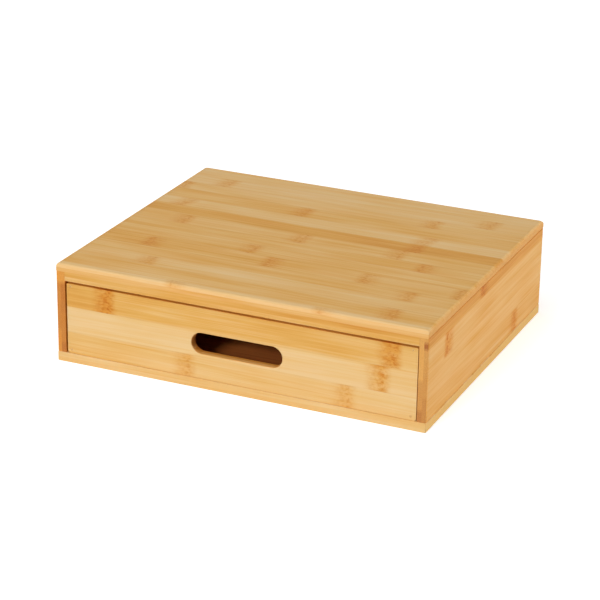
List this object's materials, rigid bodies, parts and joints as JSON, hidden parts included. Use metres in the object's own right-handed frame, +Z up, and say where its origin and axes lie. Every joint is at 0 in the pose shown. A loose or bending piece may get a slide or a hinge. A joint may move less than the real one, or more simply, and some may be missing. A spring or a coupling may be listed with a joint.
{
  "type": "utensil caddy with drawer",
  "caption": "Low flat case of laminated bamboo boards with one inset drawer across the front, pulled by a stadium-shaped finger slot.",
  "frame": {"origin": "centre of the underside of the bottom board, on the counter", "axes": "+X to the right across the front, +Y from the drawer front to the back panel, +Z up"},
  "size_m": [0.31, 0.262, 0.082],
  "materials": {
    "laminated_bamboo": "satin clear lacquer",
    "thin_bamboo_ply": "sanded, no lacquer",
    "beech_dowel": "raw wood",
    "steel_brad": "drawn wire, sunk and lacquered over"
  },
  "bodies": {
    "case": {"top_board": "laminated_bamboo", "bottom_board": "laminated_bamboo", "left_side_panel": "laminated_bamboo", "right_side_panel": "laminated_bamboo", "back_panel": "laminated_bamboo", "front_rail": "laminated_bamboo", "top_dowels": "beech_dowel", "bottom_dowels": "beech_dowel", "back_dowels": "beech_dowel", "rail_dowels": "beech_dowel"},
    "drawer": {"drawer_front": "laminated_bamboo", "drawer_left_side": "laminated_bamboo", "drawer_right_side": "laminated_bamboo", "drawer_back": "laminated_bamboo", "drawer_floor": "thin_bamboo_ply", "drawer_front_brads": "steel_brad", "drawer_back_brads": "steel_brad"}
  },
  "joints": [
    {"name": "drawer_slide", "type": "slide", "parent": "case", "child": "drawer", "axis": [0, -1, 0], "range_m": [0, 0.19]}
  ]
}
